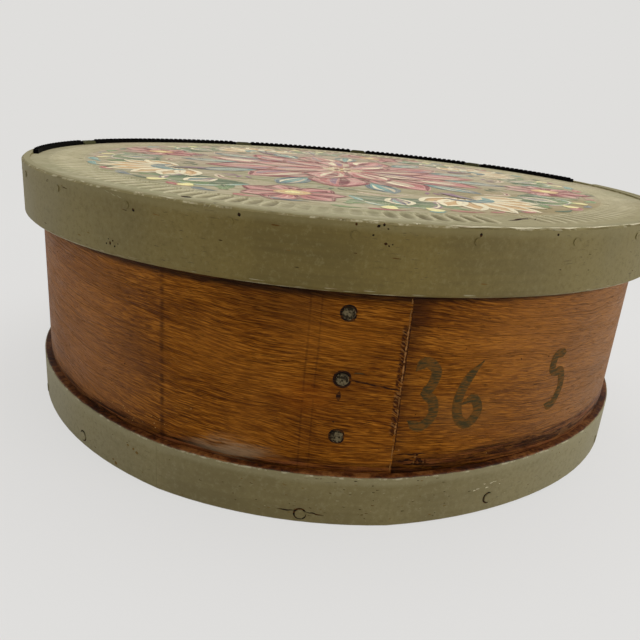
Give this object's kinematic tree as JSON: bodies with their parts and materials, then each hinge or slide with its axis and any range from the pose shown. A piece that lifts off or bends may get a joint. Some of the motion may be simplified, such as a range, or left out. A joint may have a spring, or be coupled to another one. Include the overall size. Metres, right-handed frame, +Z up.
{
  "type": "round bentwood box with slip lid",
  "caption": "Round bentwood storage box: lapped and nailed wooden hoops round plank heads, with a painted slip-on lid that lifts off.",
  "frame": {"origin": "middle of the underside, on the axis of the round floor", "axes": "+Z up along the box's axis and the way the lid lifts; -Y towards the front, where the wall's lap and its three nails are; +X to the right"},
  "size_m": [0.3643, 0.3603, 0.1298],
  "materials": {
    "varnished_wood": "aged orange-brown varnish over straight grain",
    "bare_wood": "bare, dry and slightly grey",
    "olive_paint": "worn satin olive paint",
    "decorated_top": "satin paint in pale sage with painted flowers",
    "black_moulding": "blackened, dull",
    "iron_nails": "dark, hammered",
    "painted_nails": "painted over, dull"
  },
  "bodies": {
    "box": {"wall_hoop": "varnished_wood", "floor_front_board": "bare_wood", "floor_middle_board": "bare_wood", "floor_back_board": "bare_wood", "foot_hoop": "olive_paint", "wall_lap_nails": "iron_nails", "floor_nails": "painted_nails", "foot_lap_tacks": "painted_nails"},
    "lid": {"lid_front_board": "decorated_top", "lid_middle_board": "decorated_top", "lid_back_board": "decorated_top", "lid_hoop": "olive_paint", "beading_1": "black_moulding", "beading_2": "black_moulding", "beading_3": "black_moulding", "beading_4": "black_moulding", "beading_5": "black_moulding", "beading_saddles": "olive_paint", "lid_nails": "painted_nails", "lid_lap_tacks": "painted_nails"}
  },
  "joints": [
    {"name": "lid_lift", "type": "slide", "parent": "box", "child": "lid", "axis": [0, 0, 1], "range_m": [0, 0.06]}
  ]
}
